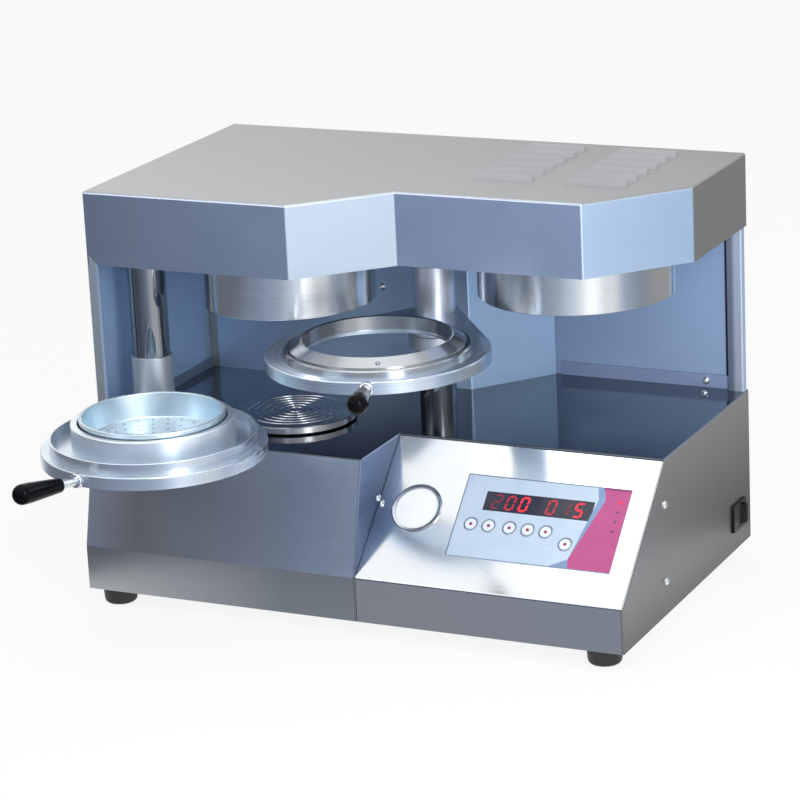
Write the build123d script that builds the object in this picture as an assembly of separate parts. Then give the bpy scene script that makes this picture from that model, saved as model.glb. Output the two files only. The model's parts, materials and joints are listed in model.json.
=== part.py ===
from build123d import *
import math
import os

# Table-top two-station heated press, 520 mm wide.
# x runs right from the base's left face, y back from the front skirt, z up from the bench.
# Lengths are in millimetres and angles in degrees.

# ---- housing ---------------------------------------------------------------
body_width = 520.0
body_depth = 317.0
foot_height = 16.0
foot_radius = 16.0
front_left_foot_x = 21.0
front_right_foot_inset = 25.0
front_feet_y = 19.0
rear_foot_side_inset = 42.0
rear_foot_inset = 30.0
skirt_height = 40.5          # upright band along the foot of the front
base_height = 141.5          # underside of the base to the top of the deck
opening_height = 154.0       # top of the deck to the lower edge of the lid
lid_height = 66.7
sheet = 1.5                  # all folded steel
fold_radius = 1.0            # inside radius of a fold
edge_round = 1.2             # outer edges of single sheets
seam = 0.3                   # gap between neighbouring sheets
panel_block_width = 250.0    # right block of the base, with the control panel
divider_rail_height = 14.0   # strip that ties the divider to the back
front_lean = 24.0            # how far the left front leans back between skirt and deck
panel_run = 103.7            # how far back the control panel meets the deck's underside
deck_right_front = 102.5     # y of the deck's edge over the control panel

lid_left = 3.2               # x of the lid's left face
lid_side_reach = 1.3         # lid's right face beyond the base
lid_left_front = 31.0        # y of the lid's front over the pressing station
lid_right_front = 101.5      # y of its front over the heating station
lid_notch_start = 205.0      # x where the left front turns back
lid_corner_run = 70.8        # from that corner of the right front to the lid's right face
lid_side_front = 183.0       # y where the lid's right side starts

bay_wall_y = 243.0           # back wall of the left bay
bay_wall_end = 277.0         # x where that wall turns back
angled_wall_end = 332.5      # x where the angled wall meets the rear cover
side_return = 11.6           # front fold of the left side panel
post_width = 15.0            # folded post at the right end of the rear cover
post_depth = 7.5
upstand_height = 12.5        # flange of the deck in front of the rear cover
side_upstand_height = 9.0
wall_overlap = 56.0          # how far walls reach up inside the lid
strip_overlap = 16.0         # how far the left strip reaches down behind the side panel

louvre_rows = 6
louvre_length = 59.0
louvre_width = 13.0
louvre_rise = 2.8
louvre_taper = 3.5           # sloped ends of a louvre
louvre_sheet = 1.0
louvre_pitch = 24.0
louvre_first_y = 163.0
louvre_bank_x = (320.0, 408.3)

# ---- stations, columns and trays ---------------------------------------------
station_x = 159.5            # centre of the pressing station
station_y = 116.8
bowl_swing_radius = 126.9    # left column to the pressing station
ring_swing_radius = 130.2    # centre column to both stations
left_column_bearing = 204.0      # seen from the pressing station
centre_column_bearing = 31.3
heating_inset = 105.2            # heating station in front of the back of the machine
bowl_tray_bearing = -61.0        # bowl tray at rest, seen from the left column
ring_tray_bearing = -87.6        # ring tray at rest, seen from the centre column

column_radius = 17.0
column_top_radius = 10.0     # stepped end through the head carrier
column_top_length = 22.0
column_foot_radius = 30.0
column_foot_height = 18.0
sleeve_wall = 1.6
running_clearance = 0.05     # radial, shaft in bore
seat_gap = 0.3               # between a moving face and what it rests on
sleeve_rise = 44.0           # sleeve above its tray's arm

tray_radius = 98.6
tray_thickness = 11.0
tray_edge_round = 1.0
hub_radius = 22.5
hub_tail = 21.5              # arm end behind the column's axis
tray_clearance = 2.5         # bowl tray above the platen
ring_tray_height = 80.0      # ring tray's underside above the deck
collar_radius = 25.0
ring_collar_height = 8.0
bowl_collar_height = 6.3
stop_collar_height = 12.0
deck_collar_height = 3.2

rim_radius = 90.5
rim_wall = 1.8
rim_height = 9.6
cup_ring_radius = 71.2
cup_ring_wall = 6.0
cup_ring_height = 22.6
cup_ring_foot = 2.0
cup_ring_ledge = 14.0        # foot ledge that the bowl stands on
bowl_radius = 64.2
bowl_height = 27.2
bowl_wall = 3.6
bowl_taper = 3.5             # lip radius less floor radius
bowl_floor = 3.0
bowl_hole_radius = 1.2
bowl_hole_rings = 4

ring_hole_radius = 63.7      # opening in the ring tray's plate
ring_web = 2.2               # plate left above the hollow in its underside
ring_hollow_radius = 91.0
insert_hole_radius = 64.7
insert_radius = 82.3
insert_rise = 12.6
insert_edge = 3.6

bowl_handle_bearing = -101.0
ring_handle_bearing = -70.0
handle_tilt = 6.6            # upward, from the tray's edge
handle_rod_radius = 3.8
handle_socket_depth = 6.0
handle_boss_radius = 6.2
handle_boss_length = 6.0
handle_seat_depth = 0.8      # spot face in the tray's edge
grip_radius = 8.8
grip_neck_radius = 6.2
grip_length = 54.0
grip_start = 122.6           # from the tray's centre
catch_bearing = 6.0          # notch and catch on the bowl tray's edge
catch_width = 13.0
catch_depth = 5.0
catch_height = 5.0

# ---- heads, platen and lift ----------------------------------------------------
press_head_radius = 78.2
heater_head_radius = 88.4
head_drop = 41.4             # heads below the lid's lower edge
head_wall = 6.0
chamber_radius = 65.0        # recess in the press head's face
chamber_depth = 12.0
seal_width = 3.5
seal_depth = 3.0
heater_plate_thickness = 8.0
heater_recess = 6.0
carrier_thickness = 6.0      # plate that carries both heads
carrier_recess = 2.0         # its underside above the lid's lower edge
nut_height = 10.0
nut_across = 30.0

platen_radius = 55.8
platen_rise = 7.6            # platen's top above the deck
platen_groove_depth = 1.0
platen_groove_width = 2.2
platen_groove_pitch = 7.2
platen_grooves = 6
ram_radius = 15.0
ram_bore_radius = 9.0
ram_bottom_height = 44.0     # above the base's underside
bush_length = 40.0
bush_radius = 21.0
bush_flange_radius = 32.0
bush_flange_thickness = 6.0
screw_radius = 6.0
screw_lead = 5.0
nut_length = 14.0
gearbox_size = 52.0
gearbox_height = 32.0
motor_radius = 17.0
motor_length = 62.0

# ---- control panel ---------------------------------------------------------------
keypad_width = 152.8
keypad_inset = 20.4          # from the right side of the machine
keypad_bottom = 31.6         # along the slope from the bend line
keypad_top = 112.0
keypad_thickness = 0.6
window_inset = 21.7          # from the left edge of the keypad
window_width = 100.7
window_bottom = 78.3
window_height = 18.7
window_thickness = 1.2
key_radius = 6.4
key_gap = 0.3
key_rise = 0.5               # cap above the keypad
key_skirt = 1.2              # cap below the panel's face
key_travel = 0.8
stem_radius = 2.5
key_names = ("temperature", "heating_time", "pressing_time", "down", "up", "start")
key_offsets = (              # from the left edge of the keypad, and along the slope
    (15.4, 63.7), (32.2, 63.7), (51.7, 63.7), (68.8, 63.7), (85.6, 63.7), (106.2, 54.1),
)
lamp_inset = 7.6             # from the right edge of the keypad
lamp_first = 71.1
lamp_pitch = 9.2
lamp_count = 4
lamp_radius = 1.5
port_offset = -0.9           # from midway between the divider and the keypad
port_s = 73.4
port_radius = 21.2
port_rim = 2.2
port_rim_height = 1.0
port_recess = 1.5
port_blank_thickness = 1.2
board_gap = 9.0              # circuit board below the panel plate
board_thickness = 1.6
switch_cube = 4.0            # height of the switch under each key
display_depth = 7.0
display_width = 37.6
display_height = 17.0

# ---- switch, inlet and electrics ------------------------------------------------
switch_inset = 32.0          # in front of the back of the machine
switch_z = 47.0
switch_length = 32.0
switch_height = 26.0
switch_flange = 2.0
switch_body_depth = 22.0
rocker_length = 23.0
rocker_height = 18.0
rocker_swing = 18.0          # degrees from one side to the other
rocker_pin_depth = 1.0       # pin behind the right wall's face
rocker_reach = 4.6           # ends of the rocker in front of its pin
inlet_inset = 60.0           # from the right side of the machine
inlet_z = 50.0
inlet_width = 28.0
inlet_height = 20.0
inlet_flange_width = 48.0
inlet_body_depth = 20.0
transformer_size = (72.0, 60.0, 62.0)
transformer_inset = 90.0     # from the right side of the machine
transformer_y = 190.0
screw_head_radius = 3.4
screw_head_height = 2.6
side_screw_y = 101.0
divider_screw_y = 52.0
divider_screw_gap = 3.6      # between the head and the control panel
deck_screw_inset = (33.5, 24.0)  # from the right side and from the back
upstand_screw_inset = 40.3   # from the lid's right face
wall_screw_inset = 86.8      # from the end of the bay's back wall
wall_screw_height = 92.0     # above the deck

# ---- levels and places worked out from the sizes ---------------------------------
base_z = foot_height
bend_z = base_z + skirt_height
deck_z = base_z + base_height
deck_under = deck_z - sheet
lid_z = deck_z + opening_height
top_z = lid_z + lid_height
wall_top = lid_z + wall_overlap
floor_z = base_z + sheet
carrier_z = lid_z + carrier_recess
head_z = lid_z - head_drop
wall_inset = sheet + seam    # walls stand this far inside the lid's outer faces
left_block_width = body_width - panel_block_width
lid_right = body_width + lid_side_reach
lid_right_corner = lid_right - lid_corner_run
keypad_right = body_width - keypad_inset
keypad_left = keypad_right - keypad_width
window_left = keypad_left + window_inset
key_places = [(keypad_left + x, s) for x, s in key_offsets]
lamp_x = keypad_right - lamp_inset
port_x = (left_block_width + keypad_left) / 2 + port_offset
switch_y = body_depth - switch_inset
inlet_x = body_width - inlet_inset
transformer_place = (body_width - transformer_inset, transformer_y)

platen_top = deck_z + platen_rise
bowl_tray_z = platen_top + tray_clearance
ring_tray_z = deck_z + ring_tray_height
bowl_top = bowl_tray_z + tray_thickness + bowl_height
insert_top = ring_tray_z + tray_thickness + insert_rise
ring_lift = head_z - insert_top - 2 * seat_gap
bowl_lift = ring_tray_z + tray_thickness - ring_web + ring_lift - bowl_top - seat_gap
platen_lift = bowl_lift + tray_clearance - seat_gap
sleeve_radius = column_radius + running_clearance + sleeve_wall
stop_collar_z = ring_tray_z - 2 * seat_gap - ring_collar_height - stop_collar_height


def polar(centre, radius, bearing):
    angle = math.radians(bearing)
    return centre[0] + radius * math.cos(angle), centre[1] + radius * math.sin(angle)


station = (station_x, station_y)
left_column_at = polar(station, bowl_swing_radius, left_column_bearing)
centre_column_at = polar(station, ring_swing_radius, centre_column_bearing)
heating_reach = body_depth - heating_inset - centre_column_at[1]
heating_bearing = math.degrees(math.asin(heating_reach / ring_swing_radius))
heating_station = polar(centre_column_at, ring_swing_radius, heating_bearing)
bowl_tray_at = polar(left_column_at, bowl_swing_radius, bowl_tray_bearing)
ring_tray_at = polar(centre_column_at, ring_swing_radius, ring_tray_bearing)
bowl_swing = left_column_bearing - 180.0 - bowl_tray_bearing
ring_swing_left = centre_column_bearing - 180.0 - ring_tray_bearing
ring_swing_right = heating_bearing - ring_tray_bearing

panel_angle = math.degrees(math.atan2(deck_under - bend_z, panel_run))
panel_plane = Plane(
    origin=(0, 0, bend_z),
    x_dir=(1, 0, 0),
    z_dir=(0, -math.sin(math.radians(panel_angle)), math.cos(math.radians(panel_angle))),
)


# ---- helpers -----------------------------------------------------------------------
def corner(points, index):
    return Vector(*points[index])


def outline(points, rounds=()):
    """Flat face with the listed (index, radius) corners rounded."""
    face = Polygon(*points, align=None)
    for index, radius in rounds:
        face = fillet(face.vertices().sort_by_distance(corner(points, index))[0], radius)
    return face


def prism_z(points, z0, z1, rounds=()):
    return extrude(Pos(0, 0, z0) * outline(points, rounds), z1 - z0, dir=(0, 0, 1))


def prism_x(points, x0, x1, rounds=()):
    """Points are (y, z)."""
    return extrude(Plane.YZ.offset(x0) * outline(points, rounds), x1 - x0, dir=(1, 0, 0))


def prism_y(points, y0, y1):
    """Points are (x, z)."""
    return extrude(Pos(0, y0, 0) * (Plane.XZ * outline(points)), y1 - y0, dir=(0, 1, 0))


def block(x0, x1, y0, y1, z0, z1):
    return Pos((x0 + x1) / 2, (y0 + y1) / 2, (z0 + z1) / 2) * Box(x1 - x0, y1 - y0, z1 - z0)


def rod(radius, z0, z1, centre=(0, 0)):
    return Pos(centre[0], centre[1], (z0 + z1) / 2) * Cylinder(radius, z1 - z0)


def tube(outer, inner, z0, z1, centre=(0, 0)):
    return rod(outer, z0, z1, centre) - rod(inner, z0, z1, centre)


def turned(points, centre=(0, 0), rounds=()):
    """Revolve an (r, z) profile about the vertical through centre."""
    return Pos(centre[0], centre[1], 0) * revolve(Plane.XZ * outline(points, rounds), Axis.Z)


def shifted(path, distance):
    """The open path moved to its left by distance, with mitred corners."""
    steps = [Vector(*path[i + 1]) - Vector(*path[i]) for i in range(len(path) - 1)]
    sides = [Vector(-s.Y, s.X).normalized() for s in steps]
    moved = []
    for i, point in enumerate(path):
        before = sides[max(i - 1, 0)]
        after = sides[min(i, len(sides) - 1)]
        mitre = (before + after) / (1 + before.dot(after))
        moved.append((point[0] + mitre.X * distance, point[1] + mitre.Y * distance))
    return moved


def folded(path, thickness=sheet):
    """Section of a sheet folded along path, thickness to its left: its points and its rounds."""
    other = shifted(path, thickness)
    count = len(path)
    rounds = []
    for i in range(1, count - 1):
        ahead = Vector(*path[i + 1]) - Vector(*path[i])
        behind = Vector(*path[i]) - Vector(*path[i - 1])
        left_turn = behind.cross(ahead).Z > 0
        outer, inner = (i, 2 * count - 1 - i) if left_turn else (2 * count - 1 - i, i)
        rounds += [(outer, fold_radius + thickness), (inner, fold_radius)]
    return path + other[::-1], rounds


def joined(*solids):
    whole = solids[0]
    for solid in solids[1:]:
        whole = whole + solid
    return whole


def group(solids):
    """Separate identical solids kept together as one sub-part."""
    return Compound([s for shape in solids for s in shape.solids()])


def edges_where(solid, test):
    """Edges of a solid whose middle passes the test."""
    return [edge for edge in solid.edges() if test(edge.position_at(0.5))]


def on_panel(x, s, shape):
    """Place a shape on the control panel: s runs up the slope and the shape's z stands out of it."""
    return panel_plane * (Pos(x, s, 0) * shape)


# ---- housing -----------------------------------------------------------------------
left_front = [(0.0, base_z), (0.0, bend_z), (front_lean, deck_under)]
right_front = [(0.0, base_z), (0.0, bend_z), (panel_run, deck_under)]


def base_casing():
    """Side walls, divider and back of the base, open above and below."""
    behind_front = shifted(left_front, -sheet)
    back = [(body_depth, deck_under), (body_depth, base_z)]
    divider_end = panel_run + 4 * sheet
    left_wall = prism_x(behind_front + back, 0, sheet)
    right_wall = prism_x(right_front + back, body_width - sheet, body_width)
    right_wall = fillet(
        edges_where(right_wall, lambda p: p.X > body_width - 0.1 and p.Y < panel_run), edge_round
    )
    divider = prism_x(
        left_front + [(divider_end, deck_under), (divider_end, base_z)],
        left_block_width - sheet,
        left_block_width,
    )
    divider = fillet(
        edges_where(divider, lambda p: p.X > left_block_width - 0.1 and p.Y < front_lean), edge_round
    )
    rail = block(
        left_block_width - sheet, left_block_width, divider_end, body_depth - sheet / 2,
        floor_z, floor_z + divider_rail_height,
    )
    rear = block(0, body_width, body_depth - sheet, body_depth, base_z, deck_under)
    casing = joined(left_wall, right_wall, divider, rail, rear)
    casing -= block(
        body_width - sheet, body_width,
        switch_y - switch_length / 2 + 2, switch_y + switch_length / 2 - 2,
        switch_z - switch_height / 2 + 2, switch_z + switch_height / 2 - 2,
    )
    casing -= block(
        inlet_x - inlet_width / 2, inlet_x + inlet_width / 2, body_depth - sheet, body_depth,
        inlet_z - inlet_height / 2, inlet_z + inlet_height / 2,
    )
    for row in range(4):
        slot = extrude(SlotOverall(60, 5), 2 * sheet, both=True)
        casing -= Pos(120, body_depth, base_z + 40 + 14 * row) * Rot(90, 0, 0) * slot
    return casing


def left_front_panel():
    """Skirt and leaning front of the left block, one folded sheet."""
    points, rounds = folded(left_front[::-1])
    return prism_x(points, 0, left_block_width - sheet - seam, rounds)


def bottom_plate():
    inset = sheet + seam
    plate = block(inset, left_block_width - inset, inset, body_depth - inset, base_z, floor_z)
    plate += block(
        left_block_width - inset, body_width - inset, panel_run + 4 * sheet + inset,
        body_depth - inset, base_z, floor_z,
    )
    plate += block(
        left_block_width + seam, body_width - inset, inset, body_depth - inset, base_z, floor_z,
    )
    for row in range(5):
        plate -= Pos(body_width - 120, 60 + 14 * row, base_z) * extrude(SlotOverall(80, 5), 2 * sheet, both=True)
    return plate


def deck_plate():
    """Top of the base, with the flanges that the bay's walls stand behind."""
    plan = [
        (0, front_lean), (left_block_width, front_lean), (left_block_width, deck_right_front),
        (body_width, deck_right_front), (body_width, body_depth), (0, body_depth),
    ]
    deck = prism_z(plan, deck_under, deck_z)
    outer = edges_where(
        deck, lambda p: p.Z > deck_z - 0.1 and (p.X > body_width - 0.1 or p.Y < deck_right_front + 0.1)
        and p.X > 0.1 and (p.X < left_block_width - 0.1 or p.X > left_block_width + 0.1)
    )
    deck = fillet(outer, edge_round)
    for centre in (left_column_at, centre_column_at):
        deck -= rod(column_radius + running_clearance, deck_under, deck_z, centre)
    deck -= rod(ram_radius + 2 * running_clearance, deck_under, deck_z, station)
    side_x = lid_left + sheet
    rear_y = body_depth - wall_inset - sheet
    deck += block(
        side_x, side_x + sheet, lid_left_front + 4 * sheet, bay_wall_y - seam,
        deck_z, deck_z + side_upstand_height,
    )
    deck += block(
        angled_wall_end + 4 * sheet, lid_right - wall_inset - post_width - seam,
        rear_y - sheet, rear_y, deck_z, deck_z + upstand_height,
    )
    return deck


lid_plan = [
    (lid_left, lid_left_front), (lid_notch_start, lid_left_front),
    (lid_notch_start + lid_right_front - lid_left_front, lid_right_front),
    (lid_right_corner, lid_right_front), (lid_right, lid_side_front),
    (lid_right, body_depth), (lid_left, body_depth),
]
lid_edge_radius = fold_radius + sheet
mitre_left = lid_left + lid_edge_radius
mitre_top = lid_z + side_return - lid_edge_radius


def louvre(inside):
    """Pressed hood rising to its open back; inside gives the space beneath it."""
    drop = louvre_sheet if inside else 0.0
    base = -sheet - 1.0 if inside else -sheet / 2
    high = louvre_rise - drop
    half = louvre_length / 2
    edge = Polyline((louvre_width, high), (louvre_width, base), (0, base), (0, -drop))
    edge += ThreePointArc((0, -drop), (louvre_width / 2, louvre_rise * 0.68 - drop), (louvre_width, high))
    hood = extrude(Plane.YZ * make_face(edge), half, both=True, dir=(1, 0, 0))
    ends = [
        (-half, base), (half, base), (half, -drop), (half - louvre_taper, high),
        (louvre_taper - half, high), (-half, -drop),
    ]
    return hood & extrude(Plane.XZ * outline(ends), 2 * louvre_width, both=True)


def lid_cover():
    """Deep folded lid with two banks of pressed louvres over the heating station."""
    rounds = [(i, lid_edge_radius) for i in range(len(lid_plan))]
    cover = prism_z(lid_plan, lid_z, top_z, rounds)
    cover = fillet(cover.faces().sort_by(Axis.Z)[-1].edges(), lid_edge_radius)
    inner_plan = shifted(lid_plan + lid_plan[:2], sheet)[1:-1]
    cover -= prism_z(inner_plan, lid_z, top_z - sheet)
    for bank_x in louvre_bank_x:
        for row in range(louvre_rows):
            place = Pos(bank_x + louvre_length / 2, louvre_first_y + louvre_pitch * row, top_z)
            cover = cover + place * louvre(False) - place * louvre(True)
    step = seam * (1 + math.sqrt(2))
    notch = [
        (mitre_left - seam, lid_z - 1), (mitre_left - seam, mitre_top + step),
        (lid_left + side_return + step - seam + 1, lid_z - 1),
    ]
    return cover - prism_y(notch, lid_left_front - 1, lid_left_front + 2 * sheet)


def left_side_panel():
    """Panel flush with the lid, its front fold mitred into the lid's corner, a strip behind the joint."""
    path = [
        (lid_left, body_depth - wall_inset), (lid_left, lid_left_front),
        (lid_left + side_return, lid_left_front),
    ]
    points, rounds = folded(path)
    top = lid_z - seam
    panel = prism_z(points, deck_z, top, rounds)
    mitre = [
        (mitre_left, top - 1), (lid_left + side_return, top - 1), (lid_left + side_return, lid_z),
        (mitre_left, mitre_top),
    ]
    panel += prism_y(mitre, lid_left_front, lid_left_front + sheet)
    panel += block(
        lid_left + sheet, lid_left + 2 * sheet, lid_left_front + 4 * sheet, bay_wall_y - seam,
        lid_z - strip_overlap, wall_top,
    )
    return panel


bay_wall_path = [
    (lid_left + sheet + seam, bay_wall_y), (bay_wall_end, bay_wall_y),
    (angled_wall_end, body_depth - wall_inset - 2 * sheet - seam),
]


def bay_wall():
    """Back wall of the left bay and the angled wall beside the heating station."""
    points, rounds = folded(bay_wall_path)
    return prism_z(points, deck_z, wall_top, rounds)


def rear_cover():
    """Back of the opening; its right end folds forward into a post."""
    back_y = body_depth - wall_inset
    right_x = lid_right - wall_inset
    path = [
        (right_x - post_width, back_y - post_depth), (right_x, back_y - post_depth),
        (right_x, back_y), (lid_left + sheet + seam, back_y),
    ]
    points, rounds = folded(path)
    return prism_z(points, deck_z, wall_top, rounds)


def rubber_feet():
    profile = [(0, 0), (foot_radius - 1.5, 0), (foot_radius, foot_height), (0, foot_height)]
    foot = turned(profile, rounds=[(1, 4.0)])
    rear_y = body_depth - rear_foot_inset
    places = [
        (front_left_foot_x, front_feet_y), (body_width - front_right_foot_inset, front_feet_y),
        (rear_foot_side_inset, rear_y), (body_width - rear_foot_side_inset, rear_y),
    ]
    return group([Pos(x, y, 0) * foot for x, y in places])


def dome_screw():
    """Pan-head screw, head at z 0 and up."""
    head = turned(
        [(0, 0), (screw_head_radius, 0), (screw_head_radius, 0.8), (2.5, 1.9),
         (1.3, screw_head_height), (0, screw_head_height)]
    )
    return head - Pos(0, 0, screw_head_height) * (Box(0.8, 4, 1.2) + Box(4, 0.8, 1.2))


def casing_screws():
    """Pan heads on both sides, the divider, the deck and the bay's walls."""
    screw = dome_screw()
    to_right = Rot(0, 90, 0)
    solids = []
    for y, z in ((side_screw_y, base_z + 31), (side_screw_y, deck_z - 40.5)):
        solids.append(Pos(body_width, y, z) * to_right * screw)
        solids.append(Pos(0, y, z) * Rot(0, -90, 0) * screw)
    panel_line = bend_z + divider_screw_y * (deck_under - bend_z) / panel_run
    above_panel = panel_line + screw_head_radius + divider_screw_gap
    solids.append(Pos(left_block_width, divider_screw_y, above_panel) * to_right * screw)
    deck_screw = (body_width - deck_screw_inset[0], body_depth - deck_screw_inset[1])
    solids.append(Pos(*deck_screw, deck_z) * screw)
    facing_front = Rot(90, 0, 0)
    rear_y = body_depth - wall_inset - 2 * sheet
    upstand_x = lid_right - upstand_screw_inset
    solids.append(Pos(upstand_x, rear_y, deck_z + upstand_height / 2) * facing_front * screw)
    wall_x = bay_wall_end - wall_screw_inset
    solids.append(Pos(wall_x, bay_wall_y, deck_z + wall_screw_height) * facing_front * screw)
    return group(solids)


# ---- columns, heads and their carrier -------------------------------------------------
def column(centre):
    """Ground shaft with a stepped top end that passes through the head carrier."""
    bottom = deck_under - column_foot_height
    profile = [
        (0, bottom), (column_radius, bottom), (column_radius, carrier_z),
        (column_top_radius, carrier_z), (column_top_radius, carrier_z + column_top_length),
        (0, carrier_z + column_top_length),
    ]
    return turned(profile, centre)


def column_feet():
    """Flanged sockets under the deck that hold the columns upright."""
    solids = []
    for centre in (left_column_at, centre_column_at):
        bottom = deck_under - column_foot_height
        profile = [
            (column_radius + running_clearance, bottom), (column_radius + 7, bottom),
            (column_radius + 7, deck_under - 6), (column_foot_radius, deck_under - 6),
            (column_foot_radius, deck_under), (column_radius + running_clearance, deck_under),
        ]
        solids.append(turned(profile, centre))
    return group(solids)


def column_nuts():
    solids = []
    bottom = carrier_z + carrier_thickness
    for centre in (left_column_at, centre_column_at):
        outline_face = Pos(0, 0, bottom) * RegularPolygon(nut_across / 2, 6, major_radius=False)
        hexagon = extrude(outline_face, nut_height)
        hexagon -= rod(column_top_radius + running_clearance, bottom, bottom + nut_height)
        solids.append(Pos(*centre, 0) * hexagon)
    return group(solids)


def head_carrier():
    """Thick plate across the top of the opening, on the columns' shoulders."""
    inside = shifted(lid_plan + lid_plan[:2], wall_inset + sheet + seam)[1:-1]
    front = [inside[-1]] + inside[:4]
    right_x = front[-1][0]
    post_x = lid_right - wall_inset - post_width - seam
    post_y = body_depth - wall_inset - post_depth - seam
    behind = shifted(bay_wall_path, -seam)[:0:-1] + [(front[0][0], bay_wall_y - seam)]
    plan = front + [(right_x, post_y), (post_x, post_y), (post_x, behind[0][1])] + behind
    plate = prism_z(plan, carrier_z, carrier_z + carrier_thickness)
    for centre in (left_column_at, centre_column_at):
        hole = column_top_radius + running_clearance
        plate -= rod(hole, carrier_z, carrier_z + carrier_thickness, centre)
    return plate


def press_head():
    """Turned head of the pressing station with a shallow chamber in its face."""
    r = press_head_radius
    inner = r - head_wall
    seal_in = chamber_radius + seal_width
    profile = [
        (0, head_z + chamber_depth), (chamber_radius, head_z + chamber_depth), (chamber_radius, head_z),
        (seal_in, head_z), (seal_in, head_z + seal_depth), (seal_in + seal_width, head_z + seal_depth),
        (seal_in + seal_width, head_z), (r, head_z), (r, carrier_z), (inner, carrier_z),
        (inner, head_z + chamber_depth + 12), (0, head_z + chamber_depth + 12),
    ]
    return turned(profile, station, rounds=[(7, 0.8)])


def press_seal():
    """Silicone ring let into the press head's face."""
    inner = chamber_radius + seal_width
    return tube(
        inner + seal_width - running_clearance, inner + running_clearance,
        head_z, head_z + seal_depth - running_clearance, station,
    )


def press_heater():
    """Heating disc clamped on the back of the press head's face."""
    bottom = head_z + chamber_depth + 12
    return tube(press_head_radius - head_wall - 4, 12, bottom, bottom + 10, station)


def heater_head():
    """Turned cup of the heating station, open downwards."""
    r = heater_head_radius
    inner = r - head_wall
    roof = carrier_z - 6
    shoulder = head_z + heater_recess + heater_plate_thickness
    profile = [
        (0, roof), (inner - 12, roof), (inner - 12, shoulder), (inner, shoulder), (inner, head_z),
        (r, head_z), (r, carrier_z), (0, carrier_z),
    ]
    return turned(profile, heating_station, rounds=[(5, 0.8)])


def heater_plate():
    """Grooved radiant plate recessed in the heating head."""
    r = heater_head_radius - head_wall - seam
    bottom = head_z + heater_recess
    top = bottom + heater_plate_thickness
    plate = rod(r, bottom, top, heating_station)
    for i in range(1, 5):
        groove = r * i / 5
        plate -= tube(groove + 2, groove - 2, bottom, bottom + 2, heating_station)
    return plate


# ---- platen and its lift ------------------------------------------------------------
platen_under = deck_z + seat_gap
ram_bottom = base_z + ram_bottom_height
screw_bottom = floor_z + gearbox_height
screw_top = deck_under - 2 * bush_flange_thickness


def lift_platen():
    """Turned disc with concentric grooves, raised by the ram."""
    points = [(0, platen_under), (platen_radius - 1.5, platen_under), (platen_radius, platen_under + 1.5)]
    points += [(platen_radius, platen_top - 0.8), (platen_radius - 0.8, platen_top)]
    low = platen_top - platen_groove_depth
    for i in range(platen_grooves, 0, -1):
        middle = platen_groove_pitch * i
        half = platen_groove_width / 2
        points += [(middle + half, platen_top), (middle + half / 2, low), (middle - half / 2, low)]
        points.append((middle - half, platen_top))
    points.append((0, platen_top))
    platen = turned(points, station)
    return platen - rod(2.0, platen_under, platen_top, station)


def lift_ram():
    """Hollow ram under the platen."""
    return tube(ram_radius, ram_bore_radius, ram_bottom, platen_under, station)


def lift_nut():
    """Nut pressed into the ram's lower end."""
    return tube(
        ram_bore_radius - running_clearance, screw_radius + running_clearance,
        ram_bottom, ram_bottom + nut_length, station,
    )


def ram_bush():
    bore = ram_radius + running_clearance
    profile = [
        (bore, deck_under - bush_length), (bush_radius, deck_under - bush_length),
        (bush_radius, deck_under - bush_flange_thickness),
        (bush_flange_radius, deck_under - bush_flange_thickness),
        (bush_flange_radius, deck_under), (bore, deck_under),
    ]
    return turned(profile, station)


def lead_screw():
    """Lift screw standing in the gearbox, with a squared foot."""
    screw = rod(screw_radius, screw_bottom + seat_gap, screw_top, station)
    return screw - Pos(station[0], station[1], screw_top) * Box(1.2, 2 * screw_radius, 6)


def lift_gearmotor():
    """Worm gearbox on the base's floor with its motor lying to the left."""
    half = gearbox_size / 2
    x, y = station
    box = block(x - half, x + half, y - half, y + half, floor_z, floor_z + gearbox_height)
    box = fillet(box.edges().filter_by(Axis.Z), 5)
    motor_z = floor_z + motor_radius + 1
    motor = Pos(x - half, y, motor_z) * Rot(0, -90, 0) * rod(motor_radius, 0, motor_length)
    cap = Pos(x - half, y, motor_z) * Rot(0, -90, 0) * rod(motor_radius - 4, 0, motor_length + 4)
    return joined(box, motor, cap)


# ---- trays ----------------------------------------------------------------------------
def tray_blank(column_at, tray_at, bottom, bore):
    """Round plate with straight-sided arm to its column, cut square behind the bore."""
    bearing = math.degrees(math.atan2(tray_at[1] - column_at[1], tray_at[0] - column_at[0]))
    reach = math.dist(column_at, tray_at)
    opening = math.asin((tray_radius - hub_radius) / reach)
    tip_half = (hub_radius - hub_tail * math.sin(opening)) / math.cos(opening)
    touch_x = reach - tray_radius * math.sin(opening)
    touch_y = tray_radius * math.cos(opening)
    arm = [(-hub_tail, -tip_half), (touch_x, -touch_y), (touch_x, touch_y), (-hub_tail, tip_half)]
    plan = outline(arm, [(0, 2.0), (3, 2.0)]) + Pos(reach, 0, 0) * Circle(tray_radius)
    blank = extrude(plan, tray_thickness, dir=(0, 0, 1))
    blank = fillet(blank.faces().sort_by(Axis.Z)[-1].edges(), tray_edge_round)
    blank = Pos(column_at[0], column_at[1], bottom) * Rot(0, 0, bearing) * blank
    return blank - rod(bore, bottom, bottom + tray_thickness, column_at)


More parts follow.
